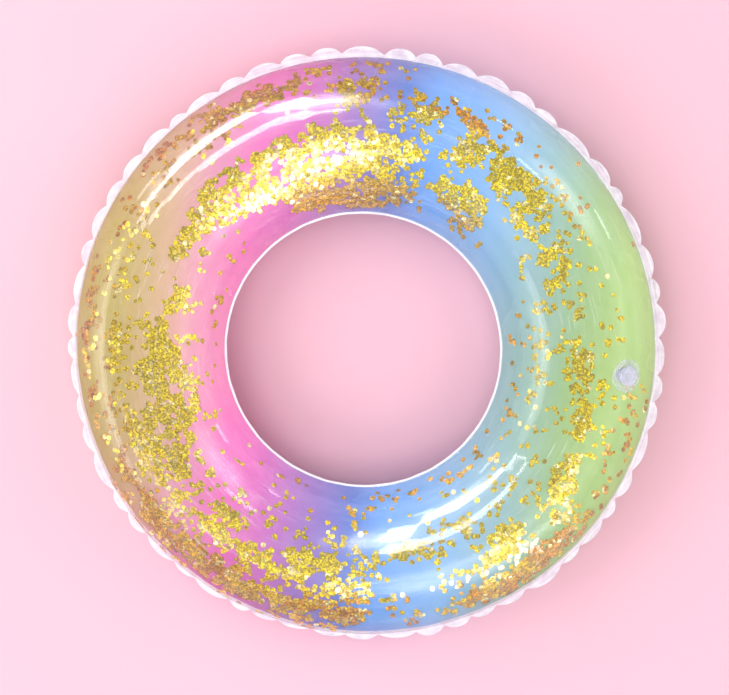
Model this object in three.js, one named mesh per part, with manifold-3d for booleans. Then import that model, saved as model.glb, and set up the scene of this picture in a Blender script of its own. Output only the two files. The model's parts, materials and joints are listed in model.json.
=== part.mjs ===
// Inflatable swim ring: a clear front film and a printed back film, welded to each other along an
// outer and an inner seam, with a push-in inflation valve and loose foil glitter inside.
// Millimetres, +Z up. The ring lies flat with its printed film down: z = 0 is the lowest circle of
// that film, and the Z axis runs through the middle of the hole.

import * as THREE from "three";
import { mergeVertices } from "three/addons/utils/BufferGeometryUtils.js";
import Module from "manifold-3d";

const wasm = await Module();
wasm.setup();
const { degToRad, euclideanModulo, lerp, radToDeg } = THREE.MathUtils;

// Driving dimensions: the ring
const INNER_SEAM_RADIUS = 154.7; // the hole's weld
const OUTER_SEAM_RADIUS = 323; // the outer weld once the ring is blown up; flat it is at 390
const FILM_THICKNESS = 0.3;
const GAP = 0.3; // between neighbouring pieces
const WELD_THICKNESS = 2 * FILM_THICKNESS;
const OUTER_WELD_WIDTH = 10.2;
const INNER_WELD_WIDTH = 1.9;
const RING_SIDES = 56; // also the number of ruffles round the outer weld
const RUFFLE_DEPTH = 4;
const RUFFLE_STEPS = 4;
const RISING_SIDES = 3; // facets of the film's section from the inner seam up to the crest
const FALLING_SIDES = 5; // and from the crest down to the outer seam
const CREST_ANGLE = degToRad(3.4); // half the stretch of film that the floor presses flat
const SECTION_STEP = 0.05;

// Driving dimensions: the valve, in its own frame with z = 0 at the film and z along its axis
const VALVE_RADIUS = 289.3; // from the ring's axis
const VALVE_AZIMUTH = degToRad(-3.2);
const ROUND_SIDES = 24;
const FILM_HOLE_RADIUS = 13.3;
const FLANGE_OUTER_RADIUS = 18.2;
const FLANGE_INNER_RADIUS = 12.9;
const FLANGE_THICKNESS = 1;
const WEB_OUTER_RADIUS = 12.5;
const WEB_INNER_RADIUS = 7.9;
const WEB_TOP = -1.2;
const WEB_DEPTH = 7.6; // the web turns inside out, so the stem travels twice this
const WEB_THICKNESS = 0.6;
const STEM_RADIUS = 7.5;
const STEM_BOTTOM = -12.5;
const BORE_RADIUS = 4.25;
const COLLAR_RADIUS = 9.75;
const COLLAR_BOTTOM = -1.2;
const COLLAR_TOP = 0.6;
const CHAMFER = 0.5;
const CAP_RADIUS = 10.4;
const CAP_THICKNESS = 2;
const DIMPLE_RADIUS = 4.6;
const DIMPLE_DEPTH = 0.8;
const SHANK_TOP_RADIUS = 3.85;
const SHANK_TIP_RADIUS = 2.4;
const SHANK_LENGTH = 5.5;
const HINGE_X = 11.3; // the strap's bending line, beside the cap
const HINGE_Z = 1.6;
const STRAP_ROOT_RADIUS = 0.7;
const STRAP_THICKNESS = 1;
const STRAP_WIDTH = 4;
const LUG_INNER_X = 9.3;
const LUG_OUTER_X = 12;
const LUG_BOTTOM = -0.9;
const LUG_TOP = 0.5;
const FLAP_RADIUS = 6.2;
const FLAP_THICKNESS = 0.4;
const FLAP_TAB_X = -6.6;
const FLAP_TAB_WIDTH = 3.2;

// Driving dimensions: the glitter
const DRIFT_THICKNESS = 0.5;
const DRIFT_OUTLINE_STEPS = 28;
const FLAKE_WIDTH = 5.6; // across the corners of the hexagon
const FLAKE_THICKNESS = 0.2;
const FLAKE_COUNT = 20;
const GOLDEN_ANGLE = 137.5;

// Beds of glitter that cling to a film: lobed patches, whose middle is in degrees round the ring and
// millimetres from its axis. `length` and `width` are half sizes, in degrees and in millimetres, and
// `slant` is how much the radius grows with each degree.
const FRONT_DRIFTS = [
  { azimuth: 66, radius: 276, length: 5, width: 11, slant: 0.5 },
  { azimuth: 310, radius: 170, length: 6, width: 4, slant: 0.3 },
];
const BACK_DRIFTS = [
  { azimuth: 115, radius: 224, length: 38, width: 31, slant: 0.25 },
  { azimuth: 95, radius: 173, length: 21, width: 10, slant: 0 },
  { azimuth: 57, radius: 195, length: 10, width: 16, slant: 0.4 },
  { azimuth: 49, radius: 244, length: 16, width: 20, slant: 0.5 },
  { azimuth: 23, radius: 232, length: 6, width: 14, slant: 0.5 },
  { azimuth: 168, radius: 220, length: 4, width: 13, slant: 0 },
  { azimuth: 196, radius: 244, length: 19, width: 31, slant: 0.5 },
  { azimuth: 206, radius: 289, length: 9, width: 7, slant: 0 },
  { azimuth: 240, radius: 286, length: 14, width: 6, slant: 0 },
  { azimuth: 237, radius: 314, length: 31, width: 6, slant: 0 },
  { azimuth: 232, radius: 262, length: 6, width: 8, slant: 0 },
  { azimuth: 256, radius: 268, length: 7, width: 9, slant: 0 },
  { azimuth: 283, radius: 250, length: 5, width: 8, slant: 0 },
  { azimuth: 305, radius: 280, length: 6, width: 15, slant: 0 },
  { azimuth: 306, radius: 314, length: 14, width: 6, slant: 0 },
  { azimuth: 325, radius: 277, length: 6, width: 12, slant: -0.5 },
  { azimuth: 341, radius: 262, length: 5, width: 9, slant: -1 },
  { azimuth: 354, radius: 249, length: 5, width: 10, slant: 0 },
  { azimuth: 76, radius: 272, length: 3, width: 16, slant: 0 },
  { azimuth: 92, radius: 283, length: 4, width: 15, slant: 0 },
  { azimuth: 115, radius: 303, length: 11, width: 7, slant: 0 },
];

const clearFilm = finish({ color: 0xe8ecf8, roughness: 0.08, opacity: 0.3 });
const printedFilm = finish({ color: 0xb4a8e0, roughness: 0.25 });
const weldedFilm = finish({ color: 0xe9e4f4, roughness: 0.3, opacity: 0.7 });
const valveVinyl = finish({ color: 0xd2d2e2, roughness: 0.3, opacity: 0.8 });
const goldFoil = finish({ color: 0xd9b430, roughness: 0.3, metalness: 0.8 });

const section = filmSection();
const MID_HEIGHT = section[RISING_SIDES].z + GAP; // height of both seams
const valveFrame = valvePlace();
const swimRing = new THREE.Group();
swimRing.add(films(), welds(), valve(), glitter());

export default swimRing;

function finish({ opacity = 1, ...look }) {
  return new THREE.MeshStandardMaterial({ ...look, opacity, transparent: opacity < 1 });
}

function piece(name, geometry, material) {
  const mesh = new THREE.Mesh(geometry, material);
  mesh.name = name;
  return mesh;
}

// The section of the blown-up ring. Two flat annular films, welded at both edges and kept taut by
// air, take a curve whose curvature grows in proportion to the radius, and which meets the outer
// seam at a right angle. The tangent starts at `startAngle` above the mid-plane.
function marchSection(startAngle, visit = () => {}) {
  const seamAreas = OUTER_SEAM_RADIUS ** 2 - INNER_SEAM_RADIUS ** 2;
  const growth = (2 * (Math.sin(startAngle) + 1)) / seamAreas;
  let radius = INNER_SEAM_RADIUS;
  let z = 0;
  let angle = startAngle;
  visit({ radius, z, angle });
  while (angle > -Math.PI / 2) {
    const middleAngle = angle - (growth * radius * SECTION_STEP) / 2;
    const middleRadius = radius + (Math.cos(angle) * SECTION_STEP) / 2;
    radius += Math.cos(middleAngle) * SECTION_STEP;
    z += Math.sin(middleAngle) * SECTION_STEP;
    angle -= growth * middleRadius * SECTION_STEP;
    visit({ radius, z, angle });
  }
  return z;
}

// The start angle that brings the curve back to the mid-plane at the outer seam.
function solveStartAngle() {
  let low = degToRad(20);
  let high = degToRad(85);
  for (let i = 0; i < 40; i++) {
    const middle = (low + high) / 2;
    if (marchSection(middle) > 0) high = middle;
    else low = middle;
  }
  return low;
}

// The corners of the faceted section, from the inner seam to the outer one.
function filmSection() {
  const startAngle = solveStartAngle();
  const angles = [];
  for (let i = 0; i < RISING_SIDES; i++) {
    angles.push(lerp(startAngle, CREST_ANGLE, i / RISING_SIDES));
  }
  angles.push(CREST_ANGLE);
  for (let i = 0; i <= FALLING_SIDES; i++) {
    angles.push(lerp(-CREST_ANGLE, -Math.PI / 2, i / FALLING_SIDES));
  }
  const corners = [];
  marchSection(startAngle, (point) => {
    if (corners.length < angles.length && point.angle <= angles[corners.length]) {
      corners.push(point);
    }
  });
  corners[RISING_SIDES + 1].z = corners[RISING_SIDES].z;
  return corners;
}

// The film's outer face, or a line `inset` below it, on the front (side 1) or the back (side -1).
function filmLine(side, inset) {
  return section.map(({ radius, z, angle }) => {
    const rise = GAP + z - Math.cos(angle) * inset;
    return new THREE.Vector2(radius + Math.sin(angle) * inset, MID_HEIGHT + side * rise);
  });
}

// A solid of revolution about z from the (radius, z) corners of its section.
function turned(corners, sides) {
  const anticlockwise = THREE.ShapeUtils.area(corners) > 0;
  const loop = anticlockwise ? [...corners] : [...corners].reverse();
  loop.push(loop[0]);
  return new THREE.LatheGeometry(loop, sides).rotateX(Math.PI / 2);
}

function vectors(pairs) {
  return pairs.map(([x, y]) => new THREE.Vector2(x, y));
}

// A skin of one film's shape, from `inset` below its outer face to `thickness` deeper.
function filmSkin(side, inset, thickness) {
  const outer = filmLine(side, inset);
  const inner = filmLine(side, inset + thickness).reverse();
  return turned([...outer, ...inner], RING_SIDES);
}

function toSolid(geometry) {
  const bare = geometry.clone();
  bare.deleteAttribute("normal");
  bare.deleteAttribute("uv");
  const merged = mergeVertices(bare, 1e-4);
  return new wasm.Manifold(
    new wasm.Mesh({
      numProp: 3,
      vertProperties: merged.attributes.position.array,
      triVerts: merged.index.array,
    }),
  );
}

function toGeometry(solid) {
  const mesh = solid.getMesh();
  const geometry = new THREE.BufferGeometry();
  geometry.setAttribute("position", new THREE.BufferAttribute(mesh.vertProperties, 3));
  geometry.setIndex(new THREE.BufferAttribute(mesh.triVerts, 1));
  geometry.computeVertexNormals();
  return geometry;
}

function films() {
  const group = new THREE.Group();
  const front = toSolid(filmSkin(1, 0, FILM_THICKNESS)).subtract(valveColumn(FILM_HOLE_RADIUS));
  group.add(piece("front_film", toGeometry(front), clearFilm));
  group.add(piece("back_film", filmSkin(-1, 0, FILM_THICKNESS), printedFilm));
  return group;
}

function welds() {
  const group = new THREE.Group();
  group.add(piece("outer_weld", outerWeld(), weldedFilm));
  group.add(piece("inner_weld", innerWeld(), weldedFilm));
  return group;
}

// A flat rim of both films melted together, with a ruffled edge of round lobes and sharp notches.
function outerWeld() {
  const outline = [];
  const steps = RING_SIDES * RUFFLE_STEPS;
  for (let i = 0; i < steps; i++) {
    const acrossLobe = (i % RUFFLE_STEPS) / (RUFFLE_STEPS / 2) - 1;
    const tip = OUTER_SEAM_RADIUS + OUTER_WELD_WIDTH;
    const azimuth = ((i / RUFFLE_STEPS - 0.5) / RING_SIDES) * 2 * Math.PI;
    outline.push(polar(tip - RUFFLE_DEPTH * acrossLobe ** 2, azimuth));
  }
  const shape = new THREE.Shape(outline);
  shape.holes.push(new THREE.Path(regularPolygon(OUTER_SEAM_RADIUS + GAP, RING_SIDES)));
  const options = { depth: WELD_THICKNESS, bevelEnabled: false };
  return new THREE.ExtrudeGeometry(shape, options).translate(0, 0, MID_HEIGHT - FILM_THICKNESS);
}

function innerWeld() {
  const outer = INNER_SEAM_RADIUS - GAP;
  const inner = outer - INNER_WELD_WIDTH;
  const bottom = MID_HEIGHT - FILM_THICKNESS;
  const top = MID_HEIGHT + FILM_THICKNESS;
  const corners = vectors([[inner, bottom], [outer, bottom], [outer, top], [inner, top]]);
  return turned(corners, RING_SIDES);
}

function polar(radius, azimuth) {
  return new THREE.Vector2(radius * Math.cos(azimuth), radius * Math.sin(azimuth));
}

function regularPolygon(radius, sides) {
  return Array.from({ length: sides }, (_, i) => polar(radius, (2 * Math.PI * i) / sides));
}

// The valve's frame: z along the film's outward normal, x round the ring, y towards the hole.
function valvePlace() {
  let spot;
  marchSection(solveStartAngle(), (point) => {
    if (point.radius <= VALVE_RADIUS || point.angle > 0) spot = point;
  });
  const out = new THREE.Vector3(Math.cos(VALVE_AZIMUTH), Math.sin(VALVE_AZIMUTH), 0);
  const up = new THREE.Vector3(0, 0, 1);
  const normal = up.clone().multiplyScalar(Math.cos(spot.angle));
  normal.addScaledVector(out, -Math.sin(spot.angle));
  const round = up.clone().cross(out);
  const frame = new THREE.Matrix4();
  frame.makeBasis(round, normal.clone().cross(round), normal);
  const centre = out.multiplyScalar(spot.radius).addScaledVector(up, MID_HEIGHT + GAP + spot.z);
  return frame.setPosition(centre);
}

// A round column on the valve's axis, right through the film.
function valveColumn(radius) {
  const column = new THREE.CylinderGeometry(radius, radius, 4 * WEB_DEPTH, ROUND_SIDES);
  return toSolid(column.rotateX(Math.PI / 2).applyMatrix4(valveFrame));
}

function valve() {
  const group = new THREE.Group();
  group.add(piece("valve_flange", valveFlange(), valveVinyl));
  const axis = new THREE.Group();
  axis.applyMatrix4(valveFrame);
  axis.add(piece("valve_web", valveWeb(), valveVinyl));
  axis.add(piece("valve_stem", valveStem(), valveVinyl));
  axis.add(piece("valve_cap", valveCap(), valveVinyl));
  axis.add(piece("cap_strap", capStrap(), valveVinyl));
  axis.add(piece("check_flap", checkFlap(), valveVinyl));
  group.add(axis);
  return group;
}

// A ring of thick vinyl that follows the film, welded to its inner face around the hole.
function valveFlange() {
  const skin = toSolid(filmSkin(1, FILM_THICKNESS + GAP, FLANGE_THICKNESS));
  const disc = skin.intersect(valveColumn(FLANGE_OUTER_RADIUS));
  return toGeometry(disc.subtract(valveColumn(FLANGE_INNER_RADIUS)));
}

// The thin funnel between flange and stem, which turns inside out as the stem is pulled.
function valveWeb() {
  const bottom = WEB_TOP - WEB_DEPTH;
  const corners = vectors([
    [WEB_INNER_RADIUS, bottom],
    [WEB_INNER_RADIUS + WEB_THICKNESS, bottom],
    [WEB_OUTER_RADIUS, WEB_TOP],
    [WEB_OUTER_RADIUS - WEB_THICKNESS, WEB_TOP],
  ]);
  return turned(corners, ROUND_SIDES);
}

// The tube one blows into, with a collar that the cap closes on and a lug for the cap's strap.
function valveStem() {
  const corners = vectors([
    [BORE_RADIUS, STEM_BOTTOM],
    [STEM_RADIUS, STEM_BOTTOM],
    [STEM_RADIUS, COLLAR_BOTTOM - CHAMFER],
    [COLLAR_RADIUS, COLLAR_BOTTOM],
    [COLLAR_RADIUS, COLLAR_TOP - CHAMFER],
    [COLLAR_RADIUS - CHAMFER, COLLAR_TOP],
    [BORE_RADIUS, COLLAR_TOP],
  ]);
  const lug = slab(LUG_INNER_X, LUG_OUTER_X, LUG_BOTTOM, LUG_TOP);
  return toGeometry(toSolid(turned(corners, ROUND_SIDES)).add(toSolid(lug)));
}

// A strap-wide block between two x and two z planes of the valve.
function slab(lowX, highX, lowZ, highZ) {
  const block = new THREE.BoxGeometry(highX - lowX, STRAP_WIDTH, highZ - lowZ);
  return block.translate((lowX + highX) / 2, 0, (lowZ + highZ) / 2);
}

// A round cap with a shallow dimple on top and a tapered plug below that fills the bore.
function valveCap() {
  const bottom = COLLAR_TOP + GAP;
  const top = bottom + CAP_THICKNESS;
  const profile = vectors([
    [0, bottom - SHANK_LENGTH],
    [SHANK_TIP_RADIUS, bottom - SHANK_LENGTH],
    [SHANK_TOP_RADIUS, bottom],
    [CAP_RADIUS, bottom],
    [CAP_RADIUS, top - CHAMFER],
    [CAP_RADIUS - CHAMFER, top],
    [DIMPLE_RADIUS + CHAMFER, top],
    [DIMPLE_RADIUS, top - DIMPLE_DEPTH],
    [0, top - DIMPLE_DEPTH],
  ]);
  return new THREE.LatheGeometry(profile, ROUND_SIDES).rotateX(Math.PI / 2);
}

// A short band from the cap's edge to a round root on the bending line.
function capStrap() {
  const root = new THREE.CylinderGeometry(
    STRAP_ROOT_RADIUS,
    STRAP_ROOT_RADIUS,
    STRAP_WIDTH,
    ROUND_SIDES / 2,
  ).translate(HINGE_X, 0, HINGE_Z);
  const half = STRAP_THICKNESS / 2;
  const band = slab(CAP_RADIUS + GAP, HINGE_X, HINGE_Z - half, HINGE_Z + half);
  return toGeometry(toSolid(root).add(toSolid(band)));
}

// The one-way flap under the stem, a disc hung by a tab on the side away from the strap.
function checkFlap() {
  const tabAngle = Math.asin(FLAP_TAB_WIDTH / 2 / FLAP_RADIUS);
  const shape = new THREE.Shape();
  shape.moveTo(FLAP_TAB_X, FLAP_TAB_WIDTH / 2);
  shape.lineTo(FLAP_TAB_X, -FLAP_TAB_WIDTH / 2);
  shape.absarc(0, 0, FLAP_RADIUS, Math.PI + tabAngle, 3 * Math.PI - tabAngle);
  const options = { depth: FLAP_THICKNESS, bevelEnabled: false };
  const flap = new THREE.ExtrudeGeometry(shape, options);
  return flap.translate(0, 0, STEM_BOTTOM - GAP - FLAP_THICKNESS);
}

function glitter() {
  const group = new THREE.Group();
  for (const [side, label, drifts] of [[1, "front", FRONT_DRIFTS], [-1, "back", BACK_DRIFTS]]) {
    const bed = toSolid(filmSkin(side, FILM_THICKNESS + GAP, DRIFT_THICKNESS));
    drifts.forEach((drift, i) => {
      const patch = bed.intersect(driftColumn(side, drift, i));
      group.add(piece(`glitter_drift_${label}_${twoDigits(i + 1)}`, toGeometry(patch), goldFoil));
    });
  }
  flakePlaces().forEach((place, i) => {
    group.add(looseFlake(`glitter_flake_${twoDigits(i + 1)}`, place));
  });
  return group;
}

function twoDigits(number) {
  return String(number).padStart(2, "0");
}

// An upright column on a drift's lobed outline, from the mid-plane past one film.
function driftColumn(side, drift, seed) {
  const outline = [];
  for (let i = 0; i < DRIFT_OUTLINE_STEPS; i++) {
    const turn = (2 * Math.PI * i) / DRIFT_OUTLINE_STEPS;
    const lobes = 1 + 0.14 * Math.sin(3 * turn + seed) + 0.08 * Math.sin(7 * turn + 2 * seed);
    const along = drift.length * lobes * Math.cos(turn);
    const radius = drift.radius + drift.slant * along + drift.width * lobes * Math.sin(turn);
    outline.push(polar(radius, degToRad(drift.azimuth + along)));
  }
  const options = { depth: MID_HEIGHT + GAP, bevelEnabled: false };
  const column = new THREE.ExtrudeGeometry(new THREE.Shape(outline), options);
  return toSolid(column.translate(0, 0, side > 0 ? MID_HEIGHT : -GAP));
}

// Middles of film facets that no drift and no valve covers, scattered by the golden angle.
function flakePlaces() {
  const places = [];
  for (let i = 0; places.length < FLAKE_COUNT; i++) {
    const side = i % 3 ? 1 : -1;
    const facet = Math.floor(((i * GOLDEN_ANGLE) % 360) / (360 / RING_SIDES));
    const row = i % (section.length - 1);
    const azimuth = ((facet + 0.5) * 360) / RING_SIDES;
    const radius = (section[row].radius + section[row + 1].radius) / 2;
    const drifts = side > 0 ? [...FRONT_DRIFTS, valveArea()] : BACK_DRIFTS;
    if (!drifts.some((drift) => covers(drift, azimuth, radius))) {
      places.push({ side, row, azimuth });
    }
  }
  return places;
}

function valveArea() {
  const length = radToDeg(FLANGE_OUTER_RADIUS / VALVE_RADIUS);
  const azimuth = radToDeg(VALVE_AZIMUTH);
  return { azimuth, radius: VALVE_RADIUS, length, width: FLANGE_OUTER_RADIUS, slant: 0 };
}

// Whether a flake there would touch the drift, with its lobes and the flake's own size allowed for.
function covers(drift, azimuth, radius) {
  const along = euclideanModulo(azimuth - drift.azimuth + 180, 360) - 180;
  const across = radius - drift.radius - drift.slant * along;
  const lobeReach = 1.25;
  const alongShare = along / (drift.length * lobeReach + 2);
  const acrossShare = across / (drift.width * lobeReach + FLAKE_WIDTH);
  return Math.hypot(alongShare, acrossShare) < 1;
}

// One hexagon of foil lying against the middle of a film facet.
function looseFlake(name, { side, row, azimuth }) {
  const line = filmLine(side, FILM_THICKNESS + GAP + FLAKE_THICKNESS / 2);
  const squeeze = Math.cos(Math.PI / RING_SIDES); // a flat side lies closer to the axis than its ends
  const [low, high] = [line[row], line[row + 1]];
  const hexagon = new THREE.CylinderGeometry(
    FLAKE_WIDTH / 2,
    FLAKE_WIDTH / 2,
    FLAKE_THICKNESS,
    6,
  ).rotateX(Math.PI / 2);
  const flake = piece(name, hexagon, goldFoil);
  flake.rotation.y = -Math.atan2(high.y - low.y, (high.x - low.x) * squeeze);
  flake.position.set(((low.x + high.x) / 2) * squeeze, 0, (low.y + high.y) / 2);
  const arm = new THREE.Group();
  arm.rotation.z = degToRad(azimuth);
  arm.add(flake);
  return arm;
}
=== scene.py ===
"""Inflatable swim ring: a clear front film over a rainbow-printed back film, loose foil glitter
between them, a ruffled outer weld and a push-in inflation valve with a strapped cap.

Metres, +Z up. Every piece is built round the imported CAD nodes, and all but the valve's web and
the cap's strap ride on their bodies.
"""

import json
import math

import bmesh
import bpy
import numpy as np
from mathutils import Matrix, Vector, noise
from mathutils.bvhtree import BVHTree


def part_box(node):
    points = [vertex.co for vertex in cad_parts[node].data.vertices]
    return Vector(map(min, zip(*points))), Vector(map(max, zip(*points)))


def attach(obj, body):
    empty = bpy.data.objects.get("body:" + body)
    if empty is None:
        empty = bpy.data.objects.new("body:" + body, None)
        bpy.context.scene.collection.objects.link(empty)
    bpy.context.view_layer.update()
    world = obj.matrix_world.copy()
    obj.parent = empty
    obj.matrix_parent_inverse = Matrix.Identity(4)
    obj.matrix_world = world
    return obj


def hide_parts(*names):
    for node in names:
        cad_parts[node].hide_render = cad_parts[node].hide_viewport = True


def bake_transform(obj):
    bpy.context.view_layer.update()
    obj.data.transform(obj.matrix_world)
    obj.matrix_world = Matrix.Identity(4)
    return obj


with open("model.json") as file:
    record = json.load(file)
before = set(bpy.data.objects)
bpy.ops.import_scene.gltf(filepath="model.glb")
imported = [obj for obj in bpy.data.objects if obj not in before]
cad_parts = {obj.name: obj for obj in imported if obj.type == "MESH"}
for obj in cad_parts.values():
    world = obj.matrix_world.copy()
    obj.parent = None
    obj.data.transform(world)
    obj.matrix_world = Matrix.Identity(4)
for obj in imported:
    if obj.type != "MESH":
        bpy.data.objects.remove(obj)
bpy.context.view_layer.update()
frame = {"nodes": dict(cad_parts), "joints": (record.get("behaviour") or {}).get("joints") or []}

MM = 0.001

# Ring, with its main measures from the CAD nodes
FILM = 0.3 * MM
INNER_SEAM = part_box("inner_weld")[1].x + FILM
OUTER_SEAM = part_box("front_film")[1].x
WELD_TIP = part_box("outer_weld")[1].x
INNER_WELD_WIDTH = 1.9 * MM
MID_HEIGHT = (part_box("inner_weld")[0].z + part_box("inner_weld")[1].z) / 2
LOBES = 56
FILM_COLUMNS = 12 * LOBES
FILM_ROWS = 64
WELD_COLUMNS = 20 * LOBES
WELD_ROWS = 10
INNER_WELD_COLUMNS = 6 * LOBES
SECTION_STEP = 0.1 * MM

# Valve, in its own frame: z outwards along the axis, x towards the strap
HINGE_X = 11.3 * MM
HINGE_Z = 1.6 * MM
FILM_HOLE_RADIUS = 13.3 * MM
VALVE_SIDES = 96

# Glitter
FLAKE_RADIUS = 3.3 * MM
SMALL_FLAKE_RADIUS = 2.5 * MM
SMALL_FLAKE_SHARE = 0.35
FLAKE_HALF_THICKNESS = 0.06 * MM
FLAKE_CLEARANCE = 0.12 * MM
LAYER_STEP = 0.35 * MM
ROW_STEP = 4.0 * MM  # from row to row of a bed, along the section
FLAKE_STEP = 4.4 * MM  # from flake to flake of a row
STEP_JITTER = 0.36
SECOND_LAYER_SHARE = 0.5
BED_HOLE_BELOW = -0.28  # lacing noise below this leaves a hole in a bed
BED_FRINGE = 16 * MM  # how far a bed's ragged edge may reach
CLUMP_SHARE = 0.45
CLUMP_SPREAD = 4.2 * MM

rng = np.random.default_rng(11)


# ---------------------------------------------------------------- the blown-up section


def march(start_angle):
    """Radius, height and slope along the film's section, from the inner seam to the outer one.
    Its curvature grows with the radius, and it meets the outer seam at a right angle."""
    growth = 2 * (math.sin(start_angle) + 1) / (OUTER_SEAM**2 - INNER_SEAM**2)
    radius, height, angle = INNER_SEAM, 0.0, start_angle
    points = [(radius, height, angle)]
    while angle > -math.pi / 2:
        middle_angle = angle - growth * radius * SECTION_STEP / 2
        middle_radius = radius + math.cos(angle) * SECTION_STEP / 2
        radius += math.cos(middle_angle) * SECTION_STEP
        height += math.sin(middle_angle) * SECTION_STEP
        angle -= growth * middle_radius * SECTION_STEP
        points.append((radius, height, angle))
    return np.array(points)


def solve_section():
    """The section that comes back to the seams' own plane at the outer seam."""
    low, high = math.radians(20), math.radians(85)
    for _ in range(30):
        middle = (low + high) / 2
        if march(middle)[-1, 1] > 0:
            high = middle
        else:
            low = middle
    return march(low)


section = solve_section()
along_section = np.arange(len(section)) * SECTION_STEP
SECTION_LENGTH = along_section[-1]


def section_at(distance):
    return [np.interp(distance, along_section, section[:, k]) for k in range(3)]


def distance_at(radius):
    return np.interp(radius, section[:, 0], along_section)


def bell(value, middle, width):
    """A smooth bump of height 1 about `middle`."""
    return np.exp(-(((value - middle) / width) ** 2))


# ---------------------------------------------------------------- lobes of the outer weld

lobe_step = 2 * math.pi / LOBES
notch_azimuth = (np.arange(LOBES) - 0.5 + rng.uniform(-0.2, 0.2, LOBES)) * lobe_step
notch_azimuth = np.append(notch_azimuth, notch_azimuth[0] + 2 * math.pi)
notch_radius = WELD_TIP - rng.uniform(5.8, 8.4, LOBES) * MM
notch_tuck = rng.uniform(0.5, 1.5, LOBES) * MM
notch_reach = rng.uniform(6, 20, LOBES) * MM
notch_skew = rng.uniform(-0.25, 0.25, LOBES)
lobe_rise = rng.uniform(5.4, 8.4, LOBES) * MM
lobe_curl = np.where(rng.random(LOBES) < 0.4, -1, 1) * rng.uniform(1.4, 3.8, LOBES) * MM
lobe_second = rng.uniform(-0.9, 0.9, LOBES) * MM


def lobe_coordinates(azimuth):
    """The lobe at each azimuth, and how far across it, from -1 to 1."""
    turned = notch_azimuth[0] + np.mod(azimuth - notch_azimuth[0], 2 * math.pi)
    lobe = np.clip(np.searchsorted(notch_azimuth, turned, side="right") - 1, 0, LOBES - 1)
    share = (turned - notch_azimuth[lobe]) / (notch_azimuth[lobe + 1] - notch_azimuth[lobe])
    return lobe, 2 * share - 1


def curl_height(azimuth):
    """How far each lobe of the weld stands up or hangs down, zero at the notches."""
    lobe, across = lobe_coordinates(azimuth)
    dome = 1 - np.abs(across) ** 1.7
    return lobe_curl[lobe] * dome + lobe_second[lobe] * np.sin(math.pi * across)


def nearest_notch(azimuth):
    """The closest notch, and the distance to it along the outer seam, with its sign."""
    lobe, across = lobe_coordinates(azimuth)
    half = (notch_azimuth[lobe + 1] - notch_azimuth[lobe]) / 2 * OUTER_SEAM
    notch = np.where(across < 0, lobe, (lobe + 1) % LOBES)
    return notch, np.where(across < 0, 1 + across, across - 1) * half


ripples = [
    (int(rng.integers(3, 40)), rng.uniform(-60, 60), rng.uniform(0, 6.28), rng.uniform(0.4, 1))
    for _ in range(14)
]


def film_points(side, distance, azimuth, inset):
    """Points of the front (side 1) or back (side -1) film, `inset` below its outer face, with the
    pleats that run inwards from the weld's notches."""
    radius, height, angle = section_at(distance)
    to_seam = SECTION_LENGTH - distance
    notch, offset = nearest_notch(azimuth)
    reach = notch_reach[notch]
    width = 1.5 * MM + 0.22 * to_seam
    lean = offset - notch_skew[notch] * to_seam
    dent = notch_tuck[notch] * bell(lean, 0, width) * np.exp(-to_seam / reach)
    swell = 0.0
    for turns, climb, phase, size in ripples:
        swell = swell + size * np.sin(turns * azimuth + climb * distance + phase)
    fade = np.minimum(1, distance / (20 * MM)) * np.minimum(1, to_seam / (12 * MM))
    shift = -inset - dent + 0.035 * MM * swell * fade
    lift = 0.35 * curl_height(azimuth) * np.exp(-to_seam / (6 * MM))
    out = radius - np.sin(angle) * shift
    up = MID_HEIGHT + side * (FILM + height + np.cos(angle) * shift) + lift
    if side < 0:
        up = np.maximum(up, inset)
    return np.stack([out * np.cos(azimuth), out * np.sin(azimuth), up], -1)


def film_normals(side, distance, azimuth):
    """Unit normals out of the ring's air space."""
    angle = section_at(distance)[2]
    out = -np.sin(angle)
    return np.stack([out * np.cos(azimuth), out * np.sin(azimuth), side * np.cos(angle)], -1)


# ---------------------------------------------------------------- meshes


def add_object(name, vertices, faces, smooth=True):
    mesh = bpy.data.meshes.new(name)
    mesh.from_pydata(np.asarray(vertices).tolist(), [], faces)
    mesh.validate()
    if smooth:
        mesh.shade_smooth()
    obj = bpy.data.objects.new(name, mesh)
    bpy.context.scene.collection.objects.link(obj)
    return obj


def face_outwards(obj):
    shape = bmesh.new()
    shape.from_mesh(obj.data)
    bmesh.ops.recalc_face_normals(shape, faces=shape.faces)
    if shape.calc_volume() < 0:
        bmesh.ops.reverse_faces(shape, faces=shape.faces)
    shape.to_mesh(obj.data)
    shape.free()


def tube_of_loops(name, loops):
    """A closed ring-shaped solid. `loops` has a closed section in its first axis and goes once
    round the ring's axis in its second."""
    rows, columns = loops.shape[:2]
    faces = []
    for i in range(rows):
        above = (i + 1) % rows
        for j in range(columns):
            beside = (j + 1) % columns
            here, there = i * columns, above * columns
            faces.append((here + j, here + beside, there + beside, there + j))
    obj = add_object(name, loops.reshape(-1, 3), faces)
    face_outwards(obj)
    return obj


def row_distances():
    """Distances along the section, closer together towards both seams."""
    share = np.linspace(0, 1, FILM_ROWS)
    eased = 0.55 * share + 0.45 * (1 - np.cos(math.pi * share)) / 2
    return eased * SECTION_LENGTH


def build_film(name, side):
    distance, azimuth = np.meshgrid(
        row_distances(), np.arange(FILM_COLUMNS) * 2 * math.pi / FILM_COLUMNS, indexing="ij"
    )
    outer = film_points(side, distance, azimuth, 0)
    inner = film_points(side, distance, azimuth, FILM)
    return tube_of_loops(name, np.concatenate([outer, inner[::-1]]))


def weld_outline(azimuth):
    lobe, across = lobe_coordinates(azimuth)
    ends = notch_radius[lobe], notch_radius[(lobe + 1) % LOBES]
    base = ends[0] + (ends[1] - ends[0]) * (across + 1) / 2
    return base + lobe_rise[lobe] * (1 - np.abs(across) ** 2.4)


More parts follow.
